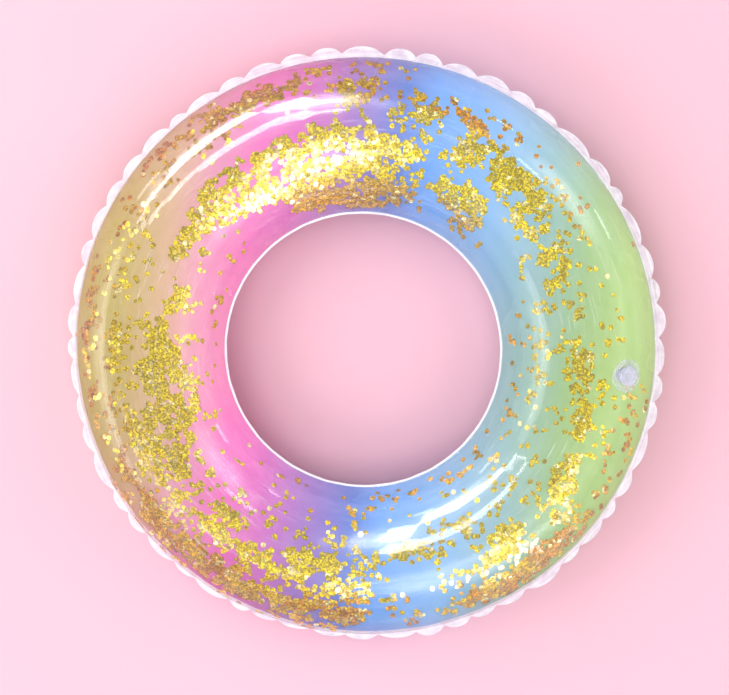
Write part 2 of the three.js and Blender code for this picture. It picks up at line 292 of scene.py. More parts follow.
def build_outer_weld():
    azimuth = np.arange(WELD_COLUMNS) * 2 * math.pi / WELD_COLUMNS
    share, azimuth = np.meshgrid(np.linspace(0, 1, WELD_ROWS), azimuth, indexing="ij")
    root = OUTER_SEAM - FILM
    radius = root + share * (weld_outline(azimuth) - root)
    notch, offset = nearest_notch(azimuth)
    fold = bell(offset, 0, 2.2 * MM)
    wave = curl_height(azimuth) * (0.35 + 0.65 * share**1.2)
    fine = 0.0
    for turns, climb, phase, size in ripples[:8]:
        fine = fine + size * np.sin(9 * turns * azimuth + 3 * share + phase)
    height = wave + 0.06 * MM * fine * share + notch_tuck[notch] * fold * share * 0.8
    bead = 0.22 * MM * (bell(share, 0.2, 0.07) + bell(share, 0.62, 0.06))
    half = FILM * (1 - 0.45 * share**6) + bead
    middle = np.stack([radius * np.cos(azimuth), radius * np.sin(azimuth), MID_HEIGHT + height], -1)
    up = np.zeros_like(middle)
    up[..., 2] = half
    weld = tube_of_loops("outer_weld_ruffle", np.concatenate([middle + up, (middle - up)[::-1]]))
    # Painted highlight along the lobes' cut edge, and fainter along the seal line at their root.
    line = bell(share, 1, 0.07) + 0.7 * bell(share, 0, 0.08)
    paint_edge_highlight(weld, np.concatenate([line, line[::-1]]))
    return weld


def paint_edge_highlight(obj, amounts):
    """Stores how close each vertex is to a weld's cut edge, for the weld's painted edge highlight.
    """
    attribute = obj.data.attributes.new("edge", "FLOAT", "POINT")
    attribute.data.foreach_set("value", np.asarray(amounts, float).ravel())


def build_inner_weld():
    azimuth = np.arange(INNER_WELD_COLUMNS) * 2 * math.pi / INNER_WELD_COLUMNS
    half_width = INNER_WELD_WIDTH / 2
    centre = INNER_SEAM - half_width
    sides = 10
    corners = []
    for k in range(sides):
        turn = 2 * math.pi * k / sides
        wave = 0.25 * MM * np.sin(23 * azimuth) + 0.2 * MM * np.sin(41 * azimuth + 1)
        flat = FILM * (1 + 0.35 * math.cos(turn))
        radius = centre + (half_width + FILM) * math.cos(turn) + 0.4 * wave
        height = MID_HEIGHT + flat * math.sin(turn) + wave * (1 - math.cos(turn)) / 2
        corners.append(np.stack([radius * np.cos(azimuth), radius * np.sin(azimuth), height], -1))
    weld = tube_of_loops("inner_weld_lip", np.stack(corners))
    # The whole lip takes the weld's painted edge highlight.
    paint_edge_highlight(weld, np.ones(len(weld.data.vertices)))
    return weld


# ---------------------------------------------------------------- valve


def valve_frame():
    joints = {joint["name"]: joint for joint in frame["joints"]}
    z = Vector(joints["stem_pull"]["axis"]).normalized()
    y = Vector(joints["cap_open"]["axis"]).normalized()
    x = y.cross(z)
    origin = Vector(joints["cap_open"]["pos_m"]) - HINGE_X * x - HINGE_Z * z
    return Matrix((x, y, z)).transposed().to_4x4(), origin


valve_turn, valve_origin = valve_frame()
valve_matrix = Matrix.Translation(valve_origin) @ valve_turn


def valve_point(x, y, z):
    return tuple(valve_matrix @ Vector((x * MM, y * MM, z * MM)))


def rounded(profile, radius=0.25, steps=3):
    """The (radius, z) corners of a closed section in millimetres, each cut by a small arc."""
    points = []
    count = len(profile)
    for i, corner in enumerate(profile):
        here = np.array(corner, float)
        before = np.array(profile[i - 1], float) - here
        after = np.array(profile[(i + 1) % count], float) - here
        if here[0] < 1e-6:
            points.append(tuple(here))
            continue
        cut = min(radius, 0.45 * np.linalg.norm(before), 0.45 * np.linalg.norm(after))
        start = here + before / np.linalg.norm(before) * cut
        end = here + after / np.linalg.norm(after) * cut
        for k in range(steps + 1):
            t = k / steps
            points.append(tuple((1 - t) ** 2 * start + 2 * t * (1 - t) * here + t**2 * end))
    return points


def lathe(name, profile, bump=None):
    """A solid of revolution about the valve's axis, from a section in millimetres that is closed
    or ends on the axis. `bump(radius, angle)` may add a height in millimetres."""
    closed = profile[0][0] > 1e-6
    vertices, rings = [], []
    for radius, z in profile:
        if radius < 1e-6:
            rings.append([len(vertices)])
            vertices.append((0, 0, z * MM))
            continue
        ring = []
        for k in range(VALVE_SIDES):
            angle = 2 * math.pi * k / VALVE_SIDES
            extra = bump(radius, angle) if bump else 0
            ring.append(len(vertices))
            vertices.append(
                (radius * math.cos(angle) * MM, radius * math.sin(angle) * MM, (z + extra) * MM)
            )
        rings.append(ring)
    faces = []
    pairs = list(zip(rings, rings[1:]))
    if closed:
        pairs.append((rings[-1], rings[0]))
    for low, high in pairs:
        for k in range(VALVE_SIDES):
            after = (k + 1) % VALVE_SIDES
            if len(low) == 1 and len(high) > 1:
                faces.append((low[0], high[after], high[k]))
            elif len(high) == 1 and len(low) > 1:
                faces.append((low[k], low[after], high[0]))
            elif len(low) > 1:
                faces.append((low[k], low[after], high[after], high[k]))
    obj = add_object(name, vertices, faces)
    face_outwards(obj)
    obj.data.transform(valve_matrix)
    return obj


def slab(name, outline, half_width, rounding=0.3):
    """A strap-wide solid from an (x, z) outline in the valve's frame, in millimetres."""
    shape = bmesh.new()
    near = [shape.verts.new((x * MM, -half_width * MM, z * MM)) for x, z in outline]
    face = shape.faces.new(near)
    made = bmesh.ops.extrude_face_region(shape, geom=[face])
    moved = [v for v in made["geom"] if isinstance(v, bmesh.types.BMVert)]
    bmesh.ops.translate(shape, verts=moved, vec=(0, 2 * half_width * MM, 0))
    bmesh.ops.recalc_face_normals(shape, faces=shape.faces)
    sharp = [e for e in shape.edges if e.calc_face_angle(0) > 0.9]
    bmesh.ops.bevel(shape, geom=sharp, offset=rounding * MM, segments=3, affect="EDGES")
    mesh = bpy.data.meshes.new(name)
    shape.to_mesh(mesh)
    shape.free()
    mesh.shade_smooth()
    mesh.transform(valve_matrix)
    obj = bpy.data.objects.new(name, mesh)
    bpy.context.scene.collection.objects.link(obj)
    return obj


def join(target, *others):
    """Adds other objects' meshes to the target's."""
    shape = bmesh.new()
    shape.from_mesh(target.data)
    for other in others:
        shape.from_mesh(other.data)
        bpy.data.objects.remove(other)
    shape.to_mesh(target.data)
    shape.free()
    return target


def build_flange(film):
    """A ring of thick vinyl welded to the inside of the film, following its curve."""
    tree = BVHTree.FromObject(film, bpy.context.evaluated_depsgraph_get())
    axis = valve_turn.to_3x3() @ Vector((0, 0, 1))
    start_height = 10 * MM
    least_reach = 13.8

    def film_height(radius, angle):
        reach = max(radius, least_reach) * MM
        spot = Vector((reach * math.cos(angle), reach * math.sin(angle), start_height))
        hit = tree.ray_cast(valve_matrix @ spot, -axis)
        return (start_height - hit[3]) / MM if hit[0] else 0.0

    profile = [(12.9, -0.5), (18.2, -0.5), (18.2, -0.95), (17.7, -1.5), (12.9, -1.5)]
    return lathe("valve_flange_ring", rounded(profile, 0.2), film_height)


def build_web():
    """The thin funnel between flange and stem, with soft bends at both ends."""
    line = [(12.9, -1.0), (12.5, -1.3), (12.1, -1.9)]
    line += [(12.1 - 4.0 * k / 8, -1.9 - 6.4 * k / 8) for k in range(1, 9)]
    line += [(7.75, -8.8)]
    half = 0.28
    outer = [(r + half, z - half * 0.5) for r, z in line]
    inner = [(r - half, z + half * 0.5) for r, z in line]
    return lathe("valve_web_funnel", outer + inner[::-1])


def build_stem():
    """A tube with a bead near its inner end, a collar at its mouth and the strap's lug."""
    profile = [
        (4.25, -12.5),
        (7.5, -12.5),
        (7.5, -9.6),
        (8.0, -9.2),
        (8.0, -8.4),
        (7.5, -8.0),
        (7.5, -1.7),
        (9.75, -1.2),
        (9.75, 0.6),
        (8.4, 0.6),
        (8.1, 0.35),
        (5.6, 0.35),
        (5.3, 0.6),
        (4.25, 0.6),
    ]
    stem = lathe("valve_stem_tube", rounded(profile))
    lug = slab("lug", [(9.3, -0.9), (12, -0.9), (12, 0.5), (9.3, 0.5)], 2)
    return join(stem, lug)


def build_cap():
    """A round cap with a rolled rim, a ridge and a dimple on top, and a tapered plug below."""
    profile = [
        (0, -4.6),
        (2.4, -4.6),
        (3.3, -2.6),
        (3.65, -2.2),
        (3.65, -1.7),
        (3.85, 0.9),
        (9.2, 0.9),
        (9.4, 0.9),
        (10.4, 0.9),
        (10.4, 2.9),
        (9.4, 2.9),
        (8.8, 2.55),
        (6.4, 2.5),
        (5.9, 2.9),
        (5.1, 2.9),
        (4.6, 2.1),
        (1.6, 2.1),
        (1.2, 2.35),
        (0, 2.4),
    ]
    return lathe("valve_cap_plug", rounded(profile, 0.3))


def build_strap():
    """A short band that rises from the stem's lug and curls over into the cap's rim."""
    outer, inner = [], []
    for k in range(13):
        turn = math.pi / 2 * k / 12
        outer.append((10.1 + 1.85 * math.cos(turn), 0.35 + 1.75 * math.sin(turn)))
        inner.append((10.1 + 0.95 * math.cos(turn), 0.35 + 0.85 * math.sin(turn)))
    return slab("cap_strap_band", outer + inner[::-1], 2, 0.18)


def build_flap():
    """A thin disc under the stem's inner end, with the tab that it swings on."""
    profile = [(0, -13.2), (6.2, -13.2), (6.2, -12.8), (0, -12.8)]
    flap = lathe("check_flap_disc", rounded(profile, 0.12))
    tab = slab("tab", [(-6.6, -13.2), (-5.0, -13.2), (-5.0, -12.8), (-6.6, -12.8)], 1.6, 0.1)
    return join(flap, tab)


def cut_valve_hole(film):
    """Cuts the round hole for the valve through the film."""
    sides = 128
    radius = FILM_HOLE_RADIUS / MM
    corners = []
    for z in (-8, 8):
        for k in range(sides):
            angle = 2 * math.pi * k / sides
            corners.append(valve_point(radius * math.cos(angle), radius * math.sin(angle), z))
    faces = [(k, (k + 1) % sides, sides + (k + 1) % sides, sides + k) for k in range(sides)]
    faces += [tuple(range(sides)), tuple(range(2 * sides - 1, sides - 1, -1))]
    cutter = add_object("cutter", corners, faces, smooth=False)
    face_outwards(cutter)
    cut = film.modifiers.new("cut", "BOOLEAN")
    cut.operation = "DIFFERENCE"
    cut.solver = "EXACT"
    cut.object = cutter
    shown = film.evaluated_get(bpy.context.evaluated_depsgraph_get())
    mesh = bpy.data.meshes.new_from_object(shown)
    film.modifiers.clear()
    film.data = mesh
    mesh.name = film.name
    bpy.data.objects.remove(cutter)


# ---------------------------------------------------------------- glitter


def side_tree(label):
    """The drifts of one film as one tree, and the drift that each of its faces belongs to."""
    vertices, faces, owner = [], [], []
    names = sorted(n for n in frame["nodes"] if n.startswith(f"glitter_drift_{label}_"))
    for name in names:
        mesh = frame["nodes"][name].data
        base = len(vertices)
        vertices += [v.co.copy() for v in mesh.vertices]
        for polygon in mesh.polygons:
            faces.append([base + i for i in polygon.vertices])
            owner.append(name)
    return BVHTree.FromPolygons(vertices, faces), owner


def lace(point, scale, offset=0.0):
    """Smooth noise about 0, for the beds' holes and ragged edges and the patches of tone."""
    return noise.noise(Vector(point) / scale + Vector((offset, -offset, 2 * offset)))


def bed_at(tree, owner, point, lacing):
    """The drift whose bed covers a point, or None in a bed's holes and past its ragged edge."""
    hit = tree.ray_cast(point + Vector((0, 0, 0.05)), Vector((0, 0, -1)), 0.1)
    if hit[0] is not None:
        return None if lacing < BED_HOLE_BELOW else owner[hit[2]]
    near = tree.find_nearest(point, BED_FRINGE)
    if near[0] is None or lacing < 0.05 + (near[3] - 1.2 * MM) / (9 * MM):
        return None
    return owner[near[2]]


def drift_flakes(side, label):
    """(drift, distance along the section, azimuth, layer) for each flake of one film's beds."""
    tree, owner = side_tree(label)
    made = []
    for row in range(int(SECTION_LENGTH / ROW_STEP)):
        distance = (row + 0.5) * ROW_STEP
        radius = float(section_at(distance)[0])
        count = int(2 * math.pi * radius / FLAKE_STEP)
        jitter = rng.uniform(-1, 1, (count, 3))
        extra = rng.random((count, 2))
        for k in range(count):
            azimuth = (k + 0.5 * (row % 2) + STEP_JITTER * jitter[k, 0]) * 2 * math.pi / count
            spot = distance + STEP_JITTER * jitter[k, 1] * ROW_STEP
            place = film_points(side, spot, azimuth, 2 * FILM)
            lacing = lace(place, 16 * MM) + 0.6 * lace(place, 7 * MM, 3.1)
            name = bed_at(tree, owner, Vector(place), lacing)
            if name is None:
                continue
            made.append((name, spot, azimuth, 0))
            if extra[k, 0] < SECOND_LAYER_SHARE:
                shifted = spot + 2.4 * MM * jitter[k, 2]
                made.append((name, shifted, azimuth + 0.008 * jitter[k, 1], 1))
    return made


# Loose flakes away from the beds: side, first and last azimuth in degrees, least and greatest
# radius in millimetres, and how many.
CLOUDS = [
    (-1, 118, 208, 282, 321, 330),
    (-1, 78, 132, 286, 319, 130),
    (-1, 28, 72, 248, 296, 110),
    (-1, 60, 100, 226, 300, 120),
    (-1, 150, 210, 196, 300, 200),
    (-1, 204, 274, 236, 300, 240),
    (-1, 218, 270, 284, 322, 420),
    (-1, 286, 322, 290, 322, 170),
    (1, 206, 266, 300, 321, 110),
    (-1, 72, 118, 172, 200, 260),
    (-1, 76, 112, 200, 228, 150),
    (-1, 258, 300, 228, 322, 190),
    (-1, 292, 352, 226, 322, 300),
    (-1, 340, 392, 190, 292, 190),
    (-1, 0, 360, 166, 240, 260),
    (1, 120, 210, 262, 306, 90),
    (1, 0, 360, 196, 300, 90),
    (1, 250, 375, 160, 200, 60),
]


def cloud_flakes():
    """(side, distance along the section, azimuth) of the loose flakes, most of them in clumps."""
    made = []
    for side, first, last, low, high, count in CLOUDS:
        start, end = distance_at(low * MM), distance_at(high * MM)
        left = count
        while left > 0:
            azimuth = math.radians(rng.uniform(first, last))
            distance = rng.uniform(start, end)
            place = film_points(side, distance, azimuth, FILM)
            if lace(place, 22 * MM, 1.7) < rng.uniform(-0.5, 0.35):
                continue
            made.append((side, distance, azimuth))
            left -= 1
            clump = rng.integers(0, 4) if rng.random() < CLUMP_SHARE else 0
            for _ in range(clump):
                step = rng.normal(0, CLUMP_SPREAD, 2)
                along = float(np.clip(distance + step[0], 4 * MM, SECTION_LENGTH - 2 * MM))
                made.append((side, along, azimuth + step[1] / (high * MM)))
                left -= 1
    return made


# Tones of the foil, as linear colours
YELLOW = np.array([0.76, 0.57, 0.008])
OLIVE = np.array([0.60, 0.46, 0.002])
GOLD = np.array([0.52, 0.285, 0.006])
BRONZE = np.array([0.54, 0.25, 0.025])
PALE = np.array([0.90, 0.78, 0.34])
PALE_SHARE = 0.05

# Radii in millimetres where the tones change. Bronze starts nearer in on one side of the ring,
# between two azimuths in radians.
CREST, CREST_WIDTH = 254, 22
GOLD_BELOW = 196
BRONZE_ABOVE = 290
EARLY_BRONZE_ABOVE = 266
EARLY_BRONZE_FROM, EARLY_BRONZE_TO = 0.5, 2.6
TONE_FADE = 14


def flake_colour(place):
    """Tone of a flake: gold by the hole, yellow, olive on the crest, bronze by the outer seam."""
    radius = math.hypot(place[0], place[1]) / MM
    early = EARLY_BRONZE_FROM < math.atan2(place[1], place[0]) < EARLY_BRONZE_TO
    bronze_from = EARLY_BRONZE_ABOVE if early else BRONZE_ABOVE
    patch = lace(place, 30 * MM, 5.3) + rng.uniform(-0.35, 0.35)
    crest = math.exp(-(((radius - CREST) / CREST_WIDTH) ** 2))
    colour = YELLOW + (OLIVE - YELLOW) * min(1, max(0, crest + 0.5 * patch))
    if radius < GOLD_BELOW:
        colour = colour + (GOLD - colour) * min(1, (GOLD_BELOW - radius) / TONE_FADE)
    if radius > bronze_from:
        share = min(1, (radius - bronze_from) / TONE_FADE)
        colour = colour + (BRONZE - colour) * share * (0.75 + 0.25 * math.copysign(1, patch))
    if rng.random() < PALE_SHARE:
        colour = PALE
    return np.clip(colour * rng.uniform(0.82, 1.15), 0, 1)


def hexagon_template():
    """Corners and faces of a hexagonal plate with a radius and a half thickness of 1."""
    turns = np.arange(6) * math.pi / 3
    flat = np.stack([np.cos(turns), np.sin(turns), np.zeros(6)], -1)
    top = flat + [0, 0, 1]
    bottom = flat - [0, 0, 1]
    faces = [tuple(range(6)), tuple(range(11, 5, -1))]
    faces += [(k, 6 + k, 6 + (k + 1) % 6, (k + 1) % 6) for k in range(6)]
    return np.concatenate([top, bottom]), faces


HEXAGON, HEXAGON_FACES = hexagon_template()


def flake_vertices(side, distance, azimuth, layer):
    """One thin hexagon that lies on the inside of a film, a little tilted and turned."""
    radius = SMALL_FLAKE_RADIUS if rng.random() < SMALL_FLAKE_SHARE else FLAKE_RADIUS
    distance = min(distance, SECTION_LENGTH - 1.2 * radius)
    azimuth = float(azimuth)
    normal = Vector(-film_normals(side, distance, azimuth))
    upright = Vector((0, 0, math.copysign(0.5 * (1 - abs(normal.z)), normal.z)))
    tilt = upright + Vector(rng.normal(0, 0.04 + 0.03 * layer, 3))
    lean = (normal + tilt - tilt.dot(normal) * normal).normalized()
    across = lean.orthogonal().normalized()
    spin = rng.uniform(0, math.pi / 3)
    x = math.cos(spin) * across + math.sin(spin) * lean.cross(across)
    y = lean.cross(x)
    slope = math.sqrt(max(0, 1 - lean.dot(normal) ** 2))
    clear = FLAKE_CLEARANCE + slope * radius + LAYER_STEP * layer
    centre = Vector(film_points(side, distance, azimuth, FILM)) + clear * normal
    basis = np.array([x * radius, y * radius, lean * FLAKE_HALF_THICKNESS])
    return np.array(centre) + HEXAGON @ basis, np.array(centre)


def flake_piece(name, flakes):
    """One object of many flakes, each with its own tone in the mesh's colour attribute."""
    vertices, faces, tones = [], [], []
    for side, distance, azimuth, layer in flakes:
        corners, centre = flake_vertices(side, distance, azimuth, layer)
        base = len(vertices) * len(HEXAGON)
        vertices.append(corners)
        faces += [tuple(base + i for i in face) for face in HEXAGON_FACES]
        tones.append(flake_colour(centre))
    obj = add_object(name, np.concatenate(vertices), faces, smooth=False)
    attribute = obj.data.color_attributes.new("tone", "FLOAT_COLOR", "POINT")
    colours = np.ones((len(tones) * len(HEXAGON), 4))
    colours[:, :3] = np.repeat(np.array(tones), len(HEXAGON), axis=0)
    attribute.data.foreach_set("color", colours.ravel())
    return obj


def build_glitter():
    """(object, CAD node) pairs: a bed's flakes for each drift, and for each CAD flake itself with
    the loose flakes nearest to it."""
    beds, singles = {}, {}
    for side, label in ((1, "front"), (-1, "back")):
        for name, distance, azimuth, layer in drift_flakes(side, label):
            beds.setdefault(name, []).append((side, distance, azimuth, layer))
    flake_nodes = sorted(n for n in frame["nodes"] if n.startswith("glitter_flake_"))
    middles = {}
    for name in flake_nodes:
        low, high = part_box(name)
        middles[name] = (low + high) / 2
        side = 1 if middles[name].z > MID_HEIGHT else -1
        azimuth = math.atan2(middles[name].y, middles[name].x)
        distance = float(distance_at(math.hypot(middles[name].x, middles[name].y)))
        singles[name] = [(side, distance, azimuth, 0)]
    for side, distance, azimuth in cloud_flakes():
        place = Vector(film_points(side, distance, azimuth, FILM))
        nearest = min(flake_nodes, key=lambda n: (middles[n] - place).length)
        singles[nearest].append((side, distance, azimuth, 0))
    pieces = []
    for name in sorted(beds):
        pieces.append((flake_piece(name.replace("drift", "bed"), beds[name]), name))
    for name in flake_nodes:
        pieces.append((flake_piece(name.replace("flake", "singles"), singles[name]), name))
    return pieces


# ---------------------------------------------------------------- materials


class Graph:
    """A material's node tree, built one node at a time."""

    def __init__(self, name):
        self.material = bpy.data.materials.new(name)
        self.material.use_nodes = True
        self.tree = self.material.node_tree
        self.tree.nodes.clear()

    def feed(self, socket, value):
        if isinstance(value, bpy.types.NodeSocket):
            self.tree.links.new(value, socket)
        else:
            socket.default_value = value

    def add(self, kind, inputs=(), output=0, **settings):
        node = self.tree.nodes.new(kind)
        for key, value in settings.items():
            setattr(node, key, value)
        for key, value in dict(inputs).items():
            self.feed(node.inputs[key], value)
        return node.outputs[output] if len(node.outputs) else None

    def math(self, operation, *values):
        return self.add("ShaderNodeMath", dict(enumerate(values)), operation=operation)

    def mix_colour(self, factor, first, second, blend="MIX"):
        node = self.tree.nodes.new("ShaderNodeMix")
        node.data_type = "RGBA"
        node.blend_type = blend
        for key, value in {0: factor, 6: first, 7: second}.items():
            self.feed(node.inputs[key], value)
        return node.outputs[2]

    def mix_shader(self, factor, first, second):
        return self.add("ShaderNodeMixShader", {0: factor, 1: first, 2: second})

    def ramp(self, factor, stops):
        node = self.tree.nodes.new("ShaderNodeValToRGB")
        self.tree.links.new(factor, node.inputs[0])
        elements = node.color_ramp.elements
        while len(elements) < len(stops):
            elements.new(0.5)
        for element, (position, colour) in zip(elements, stops):
            element.position = position
            element.color = (*colour, 1)
        return node.outputs[0]

    def place(self):
        """The piece's own coordinates, which stay with it as it moves."""
        return self.add("ShaderNodeTexCoord", output=3)

    def facing(self):
        """0 where a surface faces the view and 1 where it is seen edge on."""
        return self.add("ShaderNodeLayerWeight", {"Blend": 0.5}, output=1)

    def noise(self, scale, detail=2):
        settings = {"Vector": self.place(), "Scale": scale, "Detail": detail}
        return self.add("ShaderNodeTexNoise", settings)

    def done(self, shader):
        self.add("ShaderNodeOutputMaterial", {"Surface": shader})
        return self.material


def srgb(red, green, blue):
    """An 8-bit display colour as linear numbers."""
    return tuple(
        c / 255 / 12.92 if c <= 10 else ((c / 255 + 0.055) / 1.055) ** 2.4
        for c in (red, green, blue)
    )


def sheen_factor(graph):
    """How much of the light one face of a clear film mirrors, more at a grazing view."""
    rise = graph.math("POWER", graph.facing(), 5.0)
    return graph.math("MULTIPLY_ADD", rise, 0.28, 0.04)


def streaks_round_ring(graph, scale):
    """Noise drawn out along the ring's circles."""
    place = graph.place()
    parts = [graph.add("ShaderNodeSeparateXYZ", {0: place}, output=k) for k in range(3)]
    squares = [graph.math("MULTIPLY", part, part) for part in parts[:2]]
    radius = graph.math("SQRT", graph.math("ADD", *squares))
    turn = graph.math("ARCTAN2", parts[1], parts[0])
    across = graph.add(
        "ShaderNodeCombineXYZ", {0: radius, 1: parts[2], 2: graph.math("MULTIPLY", turn, 0.012)}
    )
    return graph.add("ShaderNodeTexNoise", {"Vector": across, "Scale": scale, "Detail": 2.0})


def clear_film():
    """Thin glossy film: it mirrors a little and lets the rest through, with a trace of haze and
    fine pale lines drawn out along the ring's circles."""
    graph = Graph("clear_vinyl_film")
    clear = graph.add("ShaderNodeBsdfTransparent", {"Color": (0.995, 0.995, 1.0, 1)})
    streaks = streaks_round_ring(graph, 220.0)
    bump = graph.add("ShaderNodeBump", {"Height": streaks, "Strength": 0.12, "Distance": 0.0006})
    crisp = graph.add("ShaderNodeBsdfGlossy", {"Roughness": 0.05, "Normal": bump})
    rough = graph.math("MULTIPLY_ADD", graph.noise(14), 0.12, 0.2)
    soft = graph.add("ShaderNodeBsdfGlossy", {"Roughness": rough, "Normal": bump})
    gloss = graph.mix_shader(0.4, crisp, soft)
    glass = graph.mix_shader(sheen_factor(graph), clear, gloss)
    milk = graph.add(
        "ShaderNodeBsdfPrincipled", {"Base Color": (0.93, 0.95, 0.99, 1), "Roughness": 0.3}
    )
    lines = graph.math("POWER", streaks_round_ring(graph, 640.0), 7.0)
    patches = graph.math("MULTIPLY_ADD", graph.noise(9, 1), 14.0, -4.0)
    lines = graph.math("MAXIMUM", graph.math("MULTIPLY", lines, patches), 0.0)
    haze = graph.math("MULTIPLY_ADD", graph.math("POWER", graph.facing(), 3.0), 0.02, 0.004)
    haze = graph.math("MULTIPLY_ADD", lines, 0.22, haze)
    return graph.done(graph.mix_shader(graph.math("MINIMUM", haze, 0.5), glass, milk))


# The print from left to right: share of the ring's width, and the display colour set there.
PRINT = [
    (0.04, (205, 190, 90)),  # straw
    (0.13, (220, 180, 145)),  # apricot
    (0.20, (230, 145, 185)),  # rose
    (0.27, (240, 110, 195)),  # pink
    (0.34, (220, 105, 195)),  # orchid
    (0.42, (165, 115, 200)),  # violet
    (0.51, (100, 130, 215)),  # blue
    (0.57, (110, 170, 245)),  # sky
    (0.69, (140, 190, 240)),  # pale sky
    (0.79, (150, 190, 190)),  # sea
    (0.87, (160, 195, 130)),  # leaf
    (0.94, (175, 205, 120)),  # lime
]
PRINT_ACROSS = (1, -0.136, 0)


def print_colour(graph):
    """The rainbow print: bands across the ring, a little slanted and softly wavy."""
    across = {0: graph.place(), 1: PRINT_ACROSS}
    slant = graph.add("ShaderNodeVectorMath", across, operation="DOT_PRODUCT", output=1)
    sway = graph.math("MULTIPLY_ADD", graph.noise(5, 1), 0.05, -0.025)
    share = graph.math("MULTIPLY_ADD", slant, 0.5 / OUTER_SEAM, 0.5)
    share = graph.math("ADD", share, sway)
    return graph.ramp(share, [(at, srgb(*colour)) for at, colour in PRINT])


def printed_film():
    """The print on glossy vinyl that lets a little light through."""
    graph = Graph("printed_vinyl_film")
    colour = print_colour(graph)
    cloud = graph.noise(60, 4)
    colour = graph.mix_colour(graph.math("MULTIPLY", cloud, 0.10), colour, (1, 1, 1, 1))
    rough = graph.math("MULTIPLY_ADD", graph.noise(20), 0.12, 0.2)
    vinyl = graph.add(
        "ShaderNodeBsdfPrincipled",
        {"Base Color": colour, "Roughness": rough, "Specular IOR Level": 0.5},
    )
    through = graph.add("ShaderNodeBsdfTranslucent", {"Color": colour})
    return graph.done(graph.mix_shader(0.1, vinyl, through))


def welded_film():
    """Two films welded flat: milky, streaked along the ring and whitest at both its edges, where a
    highlight is painted.
    """
    graph = Graph("welded_vinyl_rim")
    streaks = graph.math("MULTIPLY", streaks_round_ring(graph, 330.0), 0.7)
    streaks = graph.math("MULTIPLY_ADD", graph.noise(70, 3), 0.6, streaks)
    colour = graph.mix_colour(streaks, (0.78, 0.77, 0.90, 1), (1.0, 1.0, 1.0, 1))
    milk = graph.add(
        "ShaderNodeBsdfPrincipled",
        {"Base Color": colour, "Roughness": 0.2, "Specular IOR Level": 0.7},
    )
    through = graph.add("ShaderNodeBsdfTranslucent", {"Color": colour})
    body = graph.mix_shader(0.35, milk, through)
    clear = graph.add("ShaderNodeBsdfTransparent", {"Color": (0.95, 0.95, 0.98, 1)})
    # Painted highlight: near the cut edges the milky cover thickens towards opaque white.
    edge = graph.add("ShaderNodeAttribute", output=2, attribute_name="edge")
    cover = graph.math("MULTIPLY_ADD", streaks, 0.9, -0.08)
    cover = graph.math("MULTIPLY_ADD", graph.facing(), 0.35, cover)
    cover = graph.math("MULTIPLY_ADD", edge, 0.6, cover)
    return graph.done(graph.mix_shader(graph.math("MINIMUM", cover, 0.95), clear, body))


def milky_vinyl(name, cover_least, tint):
    """Thick soft vinyl, more or less see-through by `cover_least`."""
    graph = Graph(name)
    grain = graph.noise(160, 3)
    colour = graph.mix_colour(grain, (*tint, 1), (0.96, 0.96, 1.0, 1))
    body = graph.add(
        "ShaderNodeBsdfPrincipled",
        {"Base Color": colour, "Roughness": 0.12, "Specular IOR Level": 0.8},
    )
    through = graph.add("ShaderNodeBsdfTranslucent", {"Color": colour})
    vinyl = graph.mix_shader(0.3, body, through)
    clear = graph.add("ShaderNodeBsdfTransparent", {"Color": (0.95, 0.95, 0.98, 1)})
    cover = graph.math("MULTIPLY_ADD", grain, 0.25, cover_least)
    return graph.done(graph.mix_shader(cover, clear, vinyl))


def gold_foil():
    """Foil that sparkles: fine grains of darker and lighter tone over each flake's own, partly the
    foil's grain and partly painted sparkle.
    """
    graph = Graph("gold_foil_flakes")
    tone = graph.add("ShaderNodeAttribute", output=0, attribute_name="tone")
    grains = {"Vector": graph.place(), "Scale": 640.0}
    cells = graph.add("ShaderNodeTexVoronoi", grains, output=1)
    grain = graph.add("ShaderNodeSeparateColor", {0: cells})
    # Painted sparkle: each grain scales the flake's tone from half to nearly twice.
    bright = graph.math("MULTIPLY_ADD", graph.math("POWER", grain, 2.0), 1.35, 0.5)
    scale = graph.add("ShaderNodeCombineColor", {0: bright, 1: bright, 2: bright})
    shaded = graph.mix_colour(1.0, tone, scale, "MULTIPLY")
    turn = graph.math("MULTIPLY_ADD", graph.noise(420, 1), 0.06, 0.47)
    hue = graph.add("ShaderNodeHueSaturation", {"Hue": turn, "Saturation": 1.05, "Color": shaded})
    bump = graph.add("ShaderNodeBump", {"Height": grain, "Strength": 0.2, "Distance": 0.0003})
    foil = graph.add(
        "ShaderNodeBsdfPrincipled",
        {
            "Base Color": hue,
            "Metallic": 0.4,
            "Roughness": 0.55,
            "Normal": bump,
            "Coat Weight": 0.6,
            "Coat Roughness": 0.14,
            "Coat IOR": 2.2,
        },
    )
    return graph.done(foil)


# Distances from the ring between which the floor starts to glow by itself.
FLOOR_GLOW_FROM, FLOOR_GLOW_FULL = 1.0, 3.4


def paper_floor():
    """Pale pink paper that glows far from the ring, so it stays bright to the horizon."""
    graph = Graph("floor_paper")
    colour = graph.mix_colour(graph.noise(3), (0.69, 0.39, 0.47, 1), (0.71, 0.41, 0.49, 1))
    paper = graph.add("ShaderNodeBsdfPrincipled", {"Base Color": colour, "Roughness": 0.7})
    glow = graph.add("ShaderNodeEmission", {"Color": (1.0, 0.66, 0.77, 1), "Strength": 0.95})
    away = graph.add("ShaderNodeVectorMath", {0: graph.place()}, operation="LENGTH", output=1)
    span = {0: away, 1: FLOOR_GLOW_FROM, 2: FLOOR_GLOW_FULL}
    far = graph.add("ShaderNodeMapRange", span, interpolation_type="SMOOTHSTEP")
    return graph.done(graph.mix_shader(far, paper, glow))


# ---------------------------------------------------------------- assembly


def dress(obj, material, body, slot, *nodes):
    obj.data.materials.clear()
    obj.data.materials.append(material)
    if body:
        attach(obj, body)
    if nodes:
        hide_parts(*nodes)


